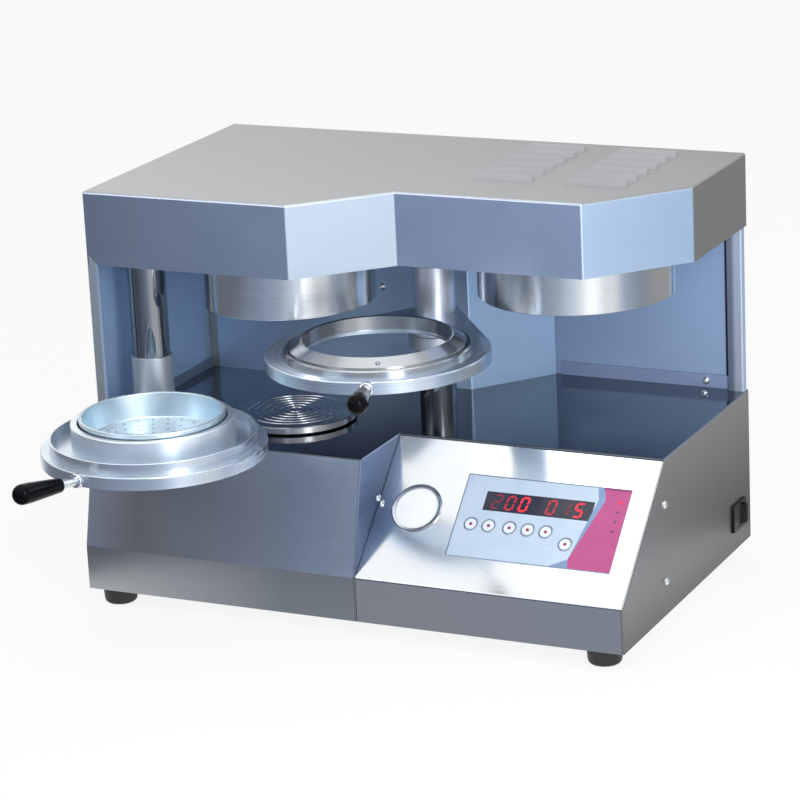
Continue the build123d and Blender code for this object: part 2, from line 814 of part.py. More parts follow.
def bowl_tray_plate():
    """Bowl tray's arm plate with its turned rim."""
    top = bowl_tray_z + tray_thickness
    bore = sleeve_radius + running_clearance
    plate = tray_blank(left_column_at, bowl_tray_at, bowl_tray_z, bore)
    inner = rim_radius - rim_wall
    rim = [(inner, top), (rim_radius, top), (rim_radius, top + rim_height), (inner, top + rim_height)]
    plate += turned(rim, bowl_tray_at, rounds=[(2, 0.6), (3, 0.6)])
    edge = polar(bowl_tray_at, tray_radius, catch_bearing)
    notch = Pos(*edge, top - catch_height / 2) * Rot(0, 0, catch_bearing)
    plate -= notch * Box(2 * catch_depth, catch_width, catch_height)
    return plate - handle_socket(bowl_tray_at, bowl_handle_bearing, bowl_tray_z)


def tray_catch():
    """Sprung catch in the notch of the bowl tray's edge."""
    top = bowl_tray_z + tray_thickness
    edge = polar(bowl_tray_at, tray_radius - catch_depth / 2, catch_bearing)
    leaf = Box(catch_depth, catch_width - 1.0, 1.6)
    nose = Pos(catch_depth / 2, 0, 1.0) * Rot(90, 0, 0) * Cylinder(1.8, catch_width - 4)
    return Pos(*edge, top - catch_height + 0.8) * Rot(0, 0, catch_bearing) * (leaf + nose)


def cup_ring():
    """Turned ring that centres the mould bowl on its tray."""
    bottom = bowl_tray_z + tray_thickness
    r = cup_ring_radius
    inner = r - cup_ring_wall
    profile = [
        (inner - cup_ring_ledge, bottom), (r, bottom), (r, bottom + cup_ring_height),
        (inner, bottom + cup_ring_height), (inner, bottom + cup_ring_foot),
        (inner - cup_ring_ledge, bottom + cup_ring_foot),
    ]
    return turned(profile, bowl_tray_at, rounds=[(2, 1.2), (3, 0.8)])


def mould_bowl():
    """Lift-out bowl with a perforated floor."""
    bottom = bowl_tray_z + tray_thickness + cup_ring_foot
    top = bowl_tray_z + tray_thickness + bowl_height
    foot = bowl_radius - bowl_taper
    profile = [
        (0, bottom), (foot, bottom), (bowl_radius, top), (bowl_radius - bowl_wall, top),
        (foot - bowl_wall, bottom + bowl_floor), (0, bottom + bowl_floor),
    ]
    bowl = turned(profile, bowl_tray_at, rounds=[(1, 2.0), (2, 1.0), (3, 0.8), (4, 2.0)])
    for ring in range(1, bowl_hole_rings + 1):
        reach = ring * (foot - 10) / bowl_hole_rings
        for i in range(6 * ring):
            hole = polar(bowl_tray_at, reach, 60.0 * i / ring)
            bowl -= rod(bowl_hole_radius, bottom, bottom + bowl_floor, hole)
    return bowl


def ring_tray_plate():
    """Ring tray's arm plate, hollow underneath, with its round opening."""
    bore = sleeve_radius + running_clearance
    top = ring_tray_z + tray_thickness
    plate = tray_blank(centre_column_at, ring_tray_at, ring_tray_z, bore)
    plate -= rod(ring_hole_radius, ring_tray_z, top, ring_tray_at)
    plate -= rod(ring_hollow_radius, ring_tray_z, top - ring_web, ring_tray_at)
    return plate - handle_socket(ring_tray_at, ring_handle_bearing, ring_tray_z)


def clamp_insert():
    """Stepped ring that clamps the work on the ring tray."""
    bottom = ring_tray_z + tray_thickness
    r = insert_radius
    profile = [
        (insert_hole_radius, bottom), (r, bottom), (r, bottom + insert_edge),
        (r - 1.6, bottom + insert_edge + 1.2), (r - 3.4, bottom + insert_edge + 1.2),
        (r - 3.8, bottom + insert_edge + 0.4), (r - 4.6, bottom + insert_edge + 0.4),
        (r - 5.2, bottom + insert_edge + 2.6), (insert_hole_radius + 2.0, insert_top),
        (insert_hole_radius, insert_top - 0.6),
    ]
    ring = turned(profile, ring_tray_at, rounds=[(2, 0.8)])
    at = polar(ring_tray_at, insert_radius - 10, ring_handle_bearing + 6)
    pin = turned([(0, -3), (2.2, -3), (2.2, 1.0), (1.0, 2.0), (0, 2.0)])
    return ring + Pos(*at, bottom + insert_edge + 4.9) * pin


def tray_sleeve(column_at, tray_z, collar_height):
    """Tube that slides on the column; the tray turns on it and rests on its collar."""
    seat = tray_z - seat_gap
    bottom = seat - collar_height
    top = tray_z + tray_thickness + sleeve_rise
    inner = column_radius + running_clearance
    profile = [
        (inner, bottom), (collar_radius, bottom), (collar_radius, seat), (sleeve_radius, seat),
        (sleeve_radius, top), (inner, top),
    ]
    return turned(profile, column_at, rounds=[(1, 0.8), (2, 0.8), (4, 0.5)])


def stop_collar(column_at, bottom, height):
    """Plain collar clamped on a column."""
    return tube(collar_radius, column_radius + running_clearance, bottom, bottom + height, column_at)


def on_handle(tray_at, bearing, tray_z, shape):
    """Place a shape drawn up z, z 0 at the tray's centre, on the tilted axis of a handle."""
    middle = tray_z + tray_thickness / 2
    edge = Rot(0, 0, bearing) * Pos(tray_radius, 0, 0) * Rot(0, -handle_tilt, 0)
    return Pos(*tray_at, middle) * edge * Pos(-tray_radius, 0, 0) * Rot(0, 90, 0) * shape


handle_seat = tray_radius - handle_seat_depth
grip_end = grip_start + grip_length
rod_end = grip_end - grip_radius


def handle_socket(tray_at, bearing, tray_z):
    """Hole in the tray's edge for the handle's rod, with a spot face for its boss."""
    hole = rod(
        handle_rod_radius + running_clearance, handle_seat - handle_socket_depth, handle_seat + 1
    )
    face = rod(handle_boss_radius + seam, handle_seat, tray_radius + 6)
    return on_handle(tray_at, bearing, tray_z, hole + face)


def handle_rod(tray_at, bearing, tray_z):
    """Plated rod with a round boss, screwed into the tray's edge."""
    profile = [
        (0, handle_seat - handle_socket_depth), (handle_rod_radius, handle_seat - handle_socket_depth),
        (handle_rod_radius, handle_seat), (handle_boss_radius, handle_seat),
        (handle_boss_radius, handle_seat + handle_boss_length),
        (handle_rod_radius, handle_seat + handle_boss_length),
        (handle_rod_radius, rod_end), (0, rod_end),
    ]
    return on_handle(tray_at, bearing, tray_z, turned(profile, rounds=[(4, 1.6)]))


def handle_grip(tray_at, bearing, tray_z):
    """Tapered moulded grip with a round end, on the rod."""
    bore = handle_rod_radius + running_clearance
    profile = [
        (bore, grip_start), (grip_neck_radius, grip_start), (grip_radius, grip_end - 16),
        (grip_radius, grip_end), (0, grip_end), (0, rod_end + seat_gap), (bore, rod_end + seat_gap),
    ]
    grip = turned(profile, rounds=[(1, 1.0), (3, grip_radius - 0.6)])
    return on_handle(tray_at, bearing, tray_z, grip)


# ---- control panel -------------------------------------------------------------------
window_middle = window_left + window_width / 2
window_s = window_bottom + window_height / 2
board_z = -sheet - board_gap - board_thickness


def control_panel():
    """Skirt and sloping control panel between the divider and the right wall, one folded sheet."""
    points, rounds = folded(right_front[::-1])
    plate = prism_x(points, left_block_width + seam, body_width - sheet - seam, rounds)
    plate -= on_panel(port_x, port_s, Cylinder(port_radius, 4 * sheet))
    plate -= on_panel(window_middle, window_s, Box(window_width - 2, window_height - 2, 4 * sheet))
    for x, s in key_places:
        plate -= on_panel(x, s, Cylinder(key_radius + key_gap, 4 * sheet))
    return plate


def keypad_overlay():
    """Membrane sheet on the panel, cut out for the window and the keys."""
    middle = ((keypad_left + keypad_right) / 2, (keypad_bottom + keypad_top) / 2)
    sheet_shape = RectangleRounded(keypad_right - keypad_left, keypad_top - keypad_bottom, 1.0)
    overlay = on_panel(*middle, extrude(sheet_shape, keypad_thickness))
    cut = 4 * keypad_thickness
    overlay -= on_panel(window_middle, window_s, Box(window_width, window_height, cut))
    for x, s in key_places:
        overlay -= on_panel(x, s, Cylinder(key_radius + key_gap, cut))
    return overlay


def display_window():
    pane = Box(window_width - 2.4, window_height - 2.4, window_thickness)
    pane = Pos(0, 0, -window_thickness / 2) * pane
    face = Pos(0, 0, 0.2) * Box(window_width - 0.2, window_height - 0.2, 0.4)
    return on_panel(window_middle, window_s, pane + face)


def display_digits():
    """Two three-digit display blocks behind the window, standing on the board."""
    height = board_gap + sheet - window_thickness - seat_gap
    solids = []
    for side in (-1, 1):
        place = Pos(side * (display_width / 2 + 8), 0, board_z + board_thickness + height / 2)
        block_shape = place * Box(display_width, display_height - 1, height)
        solids.append(on_panel(window_middle, window_s, block_shape))
    return group(solids)


def indicator_lamps():
    """Four lens caps up the right side of the keypad."""
    lens = turned([(0, 0), (lamp_radius, 0), (lamp_radius * 0.6, 0.5), (0, 0.7)])
    lens = Pos(0, 0, keypad_thickness) * lens
    return group([on_panel(lamp_x, lamp_first + lamp_pitch * i, lens) for i in range(lamp_count)])


def key(x, s):
    """Round key cap through the panel, with its stem."""
    top = keypad_thickness + key_rise
    switch_top = board_z + board_thickness + switch_cube
    profile = [
        (0, switch_top + key_travel + seat_gap), (stem_radius, switch_top + key_travel + seat_gap),
        (stem_radius, -key_skirt), (key_radius, -key_skirt), (key_radius, top), (0, top),
    ]
    return on_panel(x, s, turned(profile, rounds=[(4, 0.4)]))


def control_board():
    """Circuit board under the panel on four standoffs, with a switch body under each key."""
    left, right = keypad_left + 4, keypad_right - 4
    low, high = keypad_bottom + 8, keypad_top - 4
    middle = ((left + right) / 2, (low + high) / 2)
    size = (right - left, high - low)
    slab = Pos(0, 0, board_z + board_thickness / 2) * Box(size[0], size[1], board_thickness)
    board = on_panel(*middle, slab)
    for x, s in key_places:
        switch = Pos(0, 0, board_z + board_thickness + switch_cube / 2) * Box(6, 6, switch_cube)
        board += on_panel(x, s, switch)
    for x in (left + 4, right - 4):
        for s in (low + 4, high - 4):
            post = rod(2.5, board_z + board_thickness, -sheet)
            board += on_panel(x, s, post)
    return board


def port_rim_ring():
    """Pressed rim round the gauge port."""
    profile = [
        (port_radius - 1.0, -port_recess), (port_radius - running_clearance, -port_recess),
        (port_radius - running_clearance, 0), (port_radius + port_rim, 0),
        (port_radius + port_rim, 0.5), (port_radius + 1.2, port_rim_height),
        (port_radius - 1.0, port_rim_height - 0.4),
    ]
    return on_panel(port_x, port_s, turned(profile))


def port_blank():
    """Polished blanking disc behind the port."""
    disc = rod(port_radius + 3, -port_recess - port_blank_thickness, -port_recess)
    return on_panel(port_x, port_s, disc)


# ---- switch, inlet and electrics -------------------------------------------------------
def on_right_side(shape):
    """Shape drawn with x along the machine's y, y up and z out of the right wall."""
    return Plane(origin=(body_width, switch_y, switch_z), x_dir=(0, 1, 0), z_dir=(1, 0, 0)) * shape


def switch_body():
    flange = extrude(RectangleRounded(switch_length, switch_height, 1.5), switch_flange)
    body = block(
        -switch_length / 2 + 2.2, switch_length / 2 - 2.2, -switch_height / 2 + 2.2,
        switch_height / 2 - 2.2, -switch_body_depth, 0,
    )
    well = block(
        -rocker_length / 2 - 0.5, rocker_length / 2 + 0.5, -rocker_height / 2 - 0.4,
        rocker_height / 2 + 0.4, -9.0, switch_flange,
    )
    return on_right_side(flange + body - well)


def switch_rocker():
    """Rocker tilted about an upright pin; its rear half stands proud at rest."""
    half = rocker_length / 2 - 0.5
    section = [
        (-half + 0.4, 0), (0, -5.0), (half - 0.4, 0), (half, rocker_reach), (0, rocker_reach - 2.0),
        (-half, rocker_reach),
    ]
    body = extrude(Plane.XZ * outline(section), rocker_height / 2, both=True)
    return on_right_side(Pos(0, 0, -rocker_pin_depth) * Rot(0, -rocker_swing / 2, 0) * body)


def power_inlet():
    """Three-pin inlet socket on the back."""
    plane = Plane(origin=(inlet_x, body_depth, inlet_z), x_dir=(-1, 0, 0), z_dir=(0, 1, 0))
    flange = extrude(RectangleRounded(inlet_flange_width, inlet_height + 4, 4), 2.5)
    half_x = inlet_width / 2 - seam
    half_y = inlet_height / 2 - seam
    body = block(-half_x, half_x, -half_y, half_y, -inlet_body_depth, 0)
    well = block(-10.5, 10.5, -6.5, 6.5, -14, 2.5)
    inlet = flange + body - well
    for x, y in ((-6, -1.5), (0, 1.5), (6, -1.5)):
        inlet += block(x - 0.8, x + 0.8, y - 2, y + 2, -14, -2)
    return plane * inlet


def transformer():
    """Laminated core standing on the base's floor, with its winding."""
    x, y = transformer_place
    half_x = transformer_size[0] / 2
    half_y = transformer_size[1] / 2
    top = floor_z + transformer_size[2]
    core = block(x - half_x, x + half_x, y - half_y + 14, y + half_y - 14, floor_z, top)
    winding = block(x - half_x + 12, x + half_x - 12, y - half_y, y + half_y, floor_z + 11, top - 11)
    return core + fillet(winding.edges().filter_by(Axis.Z), 6)


# ---- the whole part ----------------------------------------------------------------------
parts = {
    "base_casing": base_casing(),
    "left_front_panel": left_front_panel(),
    "bottom_plate": bottom_plate(),
    "deck_plate": deck_plate(),
    "lid_cover": lid_cover(),
    "left_side_panel": left_side_panel(),
    "bay_wall": bay_wall(),
    "rear_cover": rear_cover(),
    "rubber_feet": rubber_feet(),
    "casing_screws": casing_screws(),
    "left_column": column(left_column_at),
    "centre_column": column(centre_column_at),
    "column_feet": column_feet(),
    "column_nuts": column_nuts(),
    "head_carrier": head_carrier(),
    "press_head": press_head(),
    "press_seal": press_seal(),
    "press_heater": press_heater(),
    "heater_head": heater_head(),
    "heater_plate": heater_plate(),
    "lift_platen": lift_platen(),
    "lift_ram": lift_ram(),
    "lift_nut": lift_nut(),
    "ram_bush": ram_bush(),
    "lead_screw": lead_screw(),
    "lift_gearmotor": lift_gearmotor(),
    "deck_collar": stop_collar(left_column_at, deck_z, deck_collar_height),
    "bowl_tray_sleeve": tray_sleeve(left_column_at, bowl_tray_z, bowl_collar_height),
    "bowl_tray_plate": bowl_tray_plate(),
    "tray_catch": tray_catch(),
    "cup_ring": cup_ring(),
    "mould_bowl": mould_bowl(),
    "bowl_handle_rod": handle_rod(bowl_tray_at, bowl_handle_bearing, bowl_tray_z),
    "bowl_handle_grip": handle_grip(bowl_tray_at, bowl_handle_bearing, bowl_tray_z),
    "stop_collar": stop_collar(centre_column_at, stop_collar_z, stop_collar_height),
    "ring_tray_sleeve": tray_sleeve(centre_column_at, ring_tray_z, ring_collar_height),
    "ring_tray_plate": ring_tray_plate(),
    "clamp_insert": clamp_insert(),
    "ring_handle_rod": handle_rod(ring_tray_at, ring_handle_bearing, ring_tray_z),
    "ring_handle_grip": handle_grip(ring_tray_at, ring_handle_bearing, ring_tray_z),
    "control_panel": control_panel(),
    "keypad_overlay": keypad_overlay(),
    "display_window": display_window(),
    "display_digits": display_digits(),
    "indicator_lamps": indicator_lamps(),
    "control_board": control_board(),
    "port_rim": port_rim_ring(),
    "port_blank": port_blank(),
    "switch_body": switch_body(),
    "switch_rocker": switch_rocker(),
    "power_inlet": power_inlet(),
    "transformer": transformer(),
}
for name, (key_x, key_s) in zip(key_names, key_places):
    parts["key_" + name] = key(key_x, key_s)

boxes = [shape.bounding_box() for shape in parts.values()]
origin = (
    (min(box.min.X for box in boxes) + max(box.max.X for box in boxes)) / 2,
    (min(box.min.Y for box in boxes) + max(box.max.Y for box in boxes)) / 2,
    min(box.min.Z for box in boxes),
)
os.makedirs("parts", exist_ok=True)
for name, shape in parts.items():
    export_step(Pos(-origin[0], -origin[1], -origin[2]) * shape, f"parts/{name}.step")
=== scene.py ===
import bpy
import bmesh
import json
import math
from mathutils import Matrix, Vector


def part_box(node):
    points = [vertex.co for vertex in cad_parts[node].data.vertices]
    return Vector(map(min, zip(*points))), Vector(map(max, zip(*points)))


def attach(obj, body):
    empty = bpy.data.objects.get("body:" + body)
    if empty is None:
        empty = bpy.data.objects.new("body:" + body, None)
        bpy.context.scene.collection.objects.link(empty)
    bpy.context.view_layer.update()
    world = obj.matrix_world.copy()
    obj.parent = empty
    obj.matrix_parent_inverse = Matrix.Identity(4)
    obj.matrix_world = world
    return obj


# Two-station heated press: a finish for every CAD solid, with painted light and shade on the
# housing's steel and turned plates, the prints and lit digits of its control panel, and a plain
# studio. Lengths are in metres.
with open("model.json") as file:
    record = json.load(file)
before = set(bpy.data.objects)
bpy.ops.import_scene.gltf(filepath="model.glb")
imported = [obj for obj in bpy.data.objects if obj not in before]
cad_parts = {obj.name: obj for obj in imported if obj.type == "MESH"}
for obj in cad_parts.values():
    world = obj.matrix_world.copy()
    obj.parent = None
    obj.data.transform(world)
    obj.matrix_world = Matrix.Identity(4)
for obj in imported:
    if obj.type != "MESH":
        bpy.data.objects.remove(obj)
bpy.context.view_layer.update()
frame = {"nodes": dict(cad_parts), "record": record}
nodes = frame["nodes"]

# ---- places read from the frame ----------------------------------------------------------
lid_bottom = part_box("lid_cover")[0].z
deck_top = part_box("deck_plate")[1].z
casing_low, casing_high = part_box("base_casing")
left_x, right_x = casing_low.x, casing_high.x
joints = {joint["name"]: joint for joint in frame["record"]["behaviour"]["joints"]}
slot_of = {entry["node"]: entry["material_slot"] for entry in frame["record"]["subparts"]}


def middle_of(node):
    low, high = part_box(node)
    return (low + high) / 2


class Slope:
    """Frame on the keypad overlay, from the lower left corner of its face: u runs right, v up
    the slope and w out of it."""

    def __init__(self, node, out):
        self.out = out
        self.right = Vector((1, 0, 0))
        self.up = self.out.cross(self.right)
        self.u0 = self.v0 = self.w0 = 0.0
        us, vs, ws = zip(*self.places(node))
        self.u0, self.v0, self.w0 = min(us), min(vs), max(ws)
        self.wide, self.tall = max(us) - self.u0, max(vs) - self.v0

    def at(self, u, v, w):
        return (self.right * (self.u0 + u) + self.up * (self.v0 + v)
                + self.out * (self.w0 + w))

    def places(self, node):
        """A node's points as (u, v, w)."""
        return [
            (point.co.dot(self.right) - self.u0, point.co.dot(self.up) - self.v0,
             point.co.dot(self.out) - self.w0)
            for point in nodes[node].data.vertices
        ]

    def inside(self, node):
        """Middle of a node along the slope, half its width, and how far out it reaches."""
        us, vs, ws = zip(*self.places(node))
        middle = ((min(us) + max(us)) / 2, (min(vs) + max(vs)) / 2)
        return middle, (max(us) - min(us)) / 2, max(ws)


slope = Slope("keypad_overlay", -Vector(joints["press_start"]["axis"]).normalized())


# ---- node trees --------------------------------------------------------------------------
class Maker:
    """Short hand for building the node tree of a material or world."""

    def __init__(self, block):
        block.use_nodes = True
        self.tree = block.node_tree
        self.tree.nodes.clear()
        self.places = self.node("ShaderNodeTexCoord").outputs
        self.coords = self.places["Object"]

    def node(self, kind, **values):
        made = self.tree.nodes.new(kind)
        for key, value in values.items():
            setattr(made, key, value)
        return made

    def feed(self, socket, value):
        """Links an output to a socket, or sets it to a number, vector or colour."""
        if isinstance(value, bpy.types.NodeSocket):
            self.tree.links.new(value, socket)
        elif socket.type == "RGBA":
            socket.default_value = (*value, 1.0)
        else:
            socket.default_value = value

    def made(self, kind, *values, **settings):
        """New node with its first inputs fed."""
        made = self.node(kind, **settings)
        for socket, value in zip(made.inputs, values):
            self.feed(socket, value)
        return made.outputs

    def math(self, operation, a, b=0.0):
        return self.made("ShaderNodeMath", a, b, operation=operation)[0]

    def vector(self, operation, a, b, output="Vector"):
        return self.made("ShaderNodeVectorMath", a, b, operation=operation)[output]

    def split(self, vector):
        return self.made("ShaderNodeSeparateXYZ", vector)

    def stretched(self, scale):
        mapping = self.node("ShaderNodeMapping")
        self.feed(mapping.inputs["Vector"], self.coords)
        self.feed(mapping.inputs["Scale"], scale)
        return mapping.outputs[0]

    def noise(self, vector, scale, detail, roughness=0.5):
        texture = self.node("ShaderNodeTexNoise")
        self.feed(texture.inputs["Vector"], vector)
        self.feed(texture.inputs["Scale"], scale)
        self.feed(texture.inputs["Detail"], detail)
        self.feed(texture.inputs["Roughness"], roughness)
        return texture.outputs["Fac"]

    def spread(self, value, low, high, to_low=0.0, to_high=1.0):
        ranged = self.node("ShaderNodeMapRange")
        self.feed(ranged.inputs["Value"], value)
        keys = ("From Min", "From Max", "To Min", "To Max")
        for key, number in zip(keys, (low, high, to_low, to_high)):
            self.feed(ranged.inputs[key], number)
        return ranged.outputs[0]

    def vary(self, noise, to_low, to_high):
        """Noise stays mostly between 0.3 and 0.7: this spreads that to a wanted range."""
        return self.spread(noise, 0.3, 0.7, to_low, to_high)

    def along(self, axis, start, end):
        """Runs from 0 to 1 between two places along an axis of the object."""
        return self.spread(self.vector("DOT_PRODUCT", self.coords, axis, "Value"), start, end)

    def facing(self, direction):
        """Cosine between the surface's normal and a direction."""
        normal = self.node("ShaderNodeNewGeometry").outputs["Normal"]
        return self.vector("DOT_PRODUCT", normal, direction, "Value")

    def mix(self, factor, first, second, blend="MIX"):
        mixed = self.node("ShaderNodeMix", data_type="RGBA", blend_type=blend)
        for index, value in ((0, factor), (6, first), (7, second)):
            self.feed(mixed.inputs[index], value)
        return mixed.outputs[2]

    def shaded(self, color, shade):
        """Colour multiplied by a grey level."""
        grey = self.made("ShaderNodeCombineColor", shade, shade, shade)[0]
        return self.mix(1.0, color, grey, "MULTIPLY")

    def ramp(self, value, stops):
        """Colours by position: the first stop is at 0 and the last at 1."""
        ramp = self.node("ShaderNodeValToRGB")
        self.feed(ramp.inputs[0], value)
        elements = ramp.color_ramp.elements
        elements[0].color = (*stops[0][1], 1)
        elements[1].color = (*stops[-1][1], 1)
        for position, color in stops[1:-1]:
            elements.new(position).color = (*color, 1)
        return ramp.outputs[0]

    def bump(self, height, strength, distance, normal=None):
        bump = self.node("ShaderNodeBump")
        self.feed(bump.inputs["Height"], height)
        self.feed(bump.inputs["Strength"], strength)
        self.feed(bump.inputs["Distance"], distance)
        if normal is not None:
            self.feed(bump.inputs["Normal"], normal)
        return bump.outputs[0]

    def finish(self, color, roughness, normal=None, **others):
        """Principled surface. Other sockets are named with _ for a space."""
        shader = self.node("ShaderNodeBsdfPrincipled")
        self.feed(shader.inputs["Base Color"], color)
        self.feed(shader.inputs["Roughness"], roughness)
        if normal is not None:
            self.feed(shader.inputs["Normal"], normal)
        for key, value in others.items():
            self.feed(shader.inputs[key.replace("_", " ")], value)
        self.output(shader.outputs[0])
        return shader

    def output(self, shader, kind="ShaderNodeOutputMaterial"):
        self.feed(self.node(kind).inputs["Surface"], shader)

    def shown_white(self):
        """1 for a ray from the camera, from gloss or through glass, else 0."""
        path = self.node("ShaderNodeLightPath").outputs
        seen = self.math("ADD", path["Is Camera Ray"], path["Is Glossy Ray"])
        return self.math("MINIMUM", self.math("ADD", seen, path["Is Transmission Ray"]), 1.0)


# ---- finishes, with painted light and shade ----------------------------------------------
finishes = {}
# Facings of the housing's faces.
front, right_side, upward = (0, -1, 0), (1, 0, 0), (0, 0, 1)
corner_cut = (0.73, -0.69, 0)
leaning = (0, -0.973, 0.231)
panel_slope = (0, -0.69, 0.725)
louvre_slope = (0, -0.21, 0.978)
# Cosines to a facing at which a face starts to count as looking that way, and does so fully.
wide_reach, close_reach, lean_reach = (0.3, 0.9), (0.88, 0.97), (0.975, 0.995)


def new_material(name):
    finishes[name] = bpy.data.materials.new(name)
    return finishes[name], Maker(finishes[name])


def sheet_steel(name, base, painted_tones, roughness, grain, streak=0.03, metal=1.0, upright=None):
    """Brushed satin sheet steel. Each tone is painted light or shade and lies over those before it.

    Upright gives what upright faces add to the roughness, and their metallic share.
    """
    material, make = new_material(name)
    color = base
    for direction, reach, first, second, run, place in painted_tones:
        painted_tone_mask = make.spread(make.facing(direction), *reach)
        if place:
            painted_tone_mask = make.math("MULTIPLY", painted_tone_mask, make.along(*place))
        color = make.mix(painted_tone_mask, color, make.mix(make.along(*run), first, second) if run else first)
    smudge = make.noise(make.coords, 9.0, 4.0, 0.6)
    brushed = make.noise(make.stretched(grain), 40.0, 3.0, 0.6)
    shade = make.math("ADD", make.vary(smudge, -0.03, 0.03),
                      make.vary(brushed, 1 - streak, 1 + streak))
    rough = make.math("ADD", make.vary(brushed, -0.03, 0.03), make.vary(smudge, -0.02, 0.03))
    rough = make.math("ADD", rough, roughness)
    if upright:
        more_rough, upright_metal = upright
        level = make.math("ABSOLUTE", make.facing(upward))
        stands = make.spread(level, 0.3, 0.9, 1.0, 0.0)
        rough = make.math("ADD", rough, make.math("MULTIPLY", stands, more_rough))
        metal = make.spread(stands, 0.0, 1.0, metal, upright_metal)
    make.finish(make.shaded(color, shade), rough, make.bump(brushed, 0.05, 0.0002),
                Metallic=metal)
    return material


def turned_metal(name, color, roughness, centre, grooves=900.0, streak=0.03, stretch=0.75,
                 metal=1.0, side=None):
    """Lathe-turned metal: fine rings about the vertical through centre, with gloss drawn out
    across them. Side is the colour of upright faces, if another: painted light or shade on them."""
    material, make = new_material(name)
    outward = make.vector("SUBTRACT", make.coords, (centre[0], centre[1], 0))
    x, y, z = make.split(outward)
    radius = make.math("SQRT", make.math("ADD", make.math("MULTIPLY", x, x),
                                         make.math("MULTIPLY", y, y)))
    rings = make.made("ShaderNodeCombineXYZ", make.math("MULTIPLY", radius, grooves),
                      make.math("MULTIPLY", z, grooves))[0]
    turning = make.noise(rings, 1.0, 2.0, 0.6)
    smudge = make.noise(make.coords, 14.0, 4.0, 0.6)
    shade = make.math("ADD", make.vary(turning, 1 - streak, 1 + streak * 0.5),
                      make.vary(smudge, -0.03, 0.03))
    level = make.spread(make.math("ABSOLUTE", make.facing(upward)), 0.2, 0.7)
    rough = make.math("ADD", make.vary(turning, -0.02, 0.02), roughness)
    shader = make.finish(
        make.shaded(make.mix(level, side or color, color), shade), rough,
        make.bump(turning, 0.015, 0.0002),
        Metallic=metal, Anisotropic=stretch, Anisotropic_Rotation=0.25,
    )
    turn = make.made("ShaderNodeVectorTransform", make.vector("CROSS_PRODUCT", upward, outward),
                     vector_type="VECTOR", convert_from="OBJECT", convert_to="WORLD")
    make.feed(shader.inputs["Tangent"], turn[0])
    return material


def polished(name, color, roughness):
    """Polished or plated metal with faint smudges."""
    material, make = new_material(name)
    smudge = make.noise(make.coords, 22.0, 5.0, 0.65)
    rough = make.spread(smudge, 0.35, 0.75, roughness, roughness + 0.07)
    make.finish(color, rough, make.bump(make.noise(make.coords, 6.0, 1.0), 0.03, 0.001),
                Metallic=1.0)
    return material


def moulded(name, color, roughness, grain=900.0, depth=0.05, worn=None, **fixed):
    """Plastic or rubber with a fine moulded texture and a few rubbed spots."""
    material, make = new_material(name)
    fine = make.noise(make.coords, grain, 2.0)
    broad = make.noise(make.coords, 30.0, 4.0, 0.6)
    worn = worn or tuple(min(1.0, part * 1.25 + 0.006) for part in color)
    rough = make.vary(broad, max(0.02, roughness - 0.06), roughness + 0.08)
    make.finish(make.mix(make.spread(broad, 0.45, 0.75), color, worn), rough,
                make.bump(fine, depth, 0.0002), **fixed)
    return material


def dimpled(name, color, roughness):
    """Cast metal whose level faces are covered with small round dimples."""
    material, make = new_material(name)
    cells = make.node("ShaderNodeTexVoronoi", voronoi_dimensions="2D")
    make.feed(cells.inputs["Vector"], make.coords)
    make.feed(cells.inputs["Scale"], 330.0)
    make.feed(cells.inputs["Randomness"], 0.55)
    level = make.spread(make.facing(upward), 0.8, 0.95)
    hollow = make.math("MULTIPLY", make.spread(cells.outputs["Distance"], 0.1, 0.5), level)
    smudge = make.noise(make.coords, 30.0, 4.0, 0.6)
    lighter = tuple(part * 1.1 for part in color)
    grain = make.bump(make.noise(make.coords, 420.0, 2.0), 0.2, 0.0002)
    make.finish(make.mix(make.spread(smudge, 0.35, 0.7), color, lighter),
                make.vary(smudge, roughness - 0.04, roughness + 0.06),
                make.bump(hollow, 0.9, 0.0012, grain), Metallic=1.0)
    return material


def lit(name, color, strength):
    """Glowing segment or lamp, a little uneven."""
    material, make = new_material(name)
    cells = make.noise(make.coords, 700.0, 1.0)
    uneven = make.mix(make.vary(cells, 0.0, 0.25), color, tuple(part * 0.6 for part in color))
    make.finish(uneven, 0.35, Emission_Color=color, Emission_Strength=strength)
    return material


def painted_tone(facing, first, second=None, run=None, place=None, reach=wide_reach):
    """Painted light or shade on faces that look one way, in one colour or two with a run between.

    Run and place are each an axis with a start and an end: the colour changes from first to
    second over the run, and shows only beyond the place.
    """
    return Vector(facing).normalized(), reach, first, second, run, place


def rightward(start, end):
    return (1, 0, 0), start, end


def leftward(start, end):
    return (-1, 0, 0), -start, -end


def rising(start, end):
    return (0, 0, 1), start, end


bay_height = rising(deck_top, lid_bottom)
right_bay = rightward(left_x + 0.31, left_x + 0.32)
divider_axis = (0, 0.7, -0.7)  # down and back, from the divider's top front corner
divider_corner = (casing_low.y - deck_top) * 0.7

sheet_steel("casing_steel", (0.50, 0.51, 0.53), [
    # front faces, with a painted reflection: lighter at the left
    painted_tone(front, (0.42, 0.44, 0.46), (0.18, 0.2, 0.23), rightward(left_x, left_x + 0.2)),
    # the left block's leaning front, a painted reflection, and a painted highlight strip at its
    # left end
    painted_tone(leaning, (0.4, 0.395, 0.395), (0.58, 0.65, 0.76),
         rightward(left_x + 0.05, left_x + 0.27), reach=lean_reach),
    painted_tone(leaning, (0.6, 0.62, 0.7), place=leftward(left_x + 0.05, left_x), reach=lean_reach),
    # the right skirt, painted shade darker towards the bottom, and the divider's face between the
    # block and the panel, a painted reflection that darkens down and back
    painted_tone(right_side, (0.1, 0.1, 0.1), (0.54, 0.55, 0.57), rising(casing_low.z, deck_top)),
    painted_tone(right_side, (0.19, 0.28, 0.5), (0.032, 0.06, 0.13),
         (divider_axis, divider_corner, divider_corner + 0.08), leftward(0.15, 0.05)),
    painted_tone(upward, (0.5, 0.51, 0.53)),
], 0.3, (1, 60, 60))
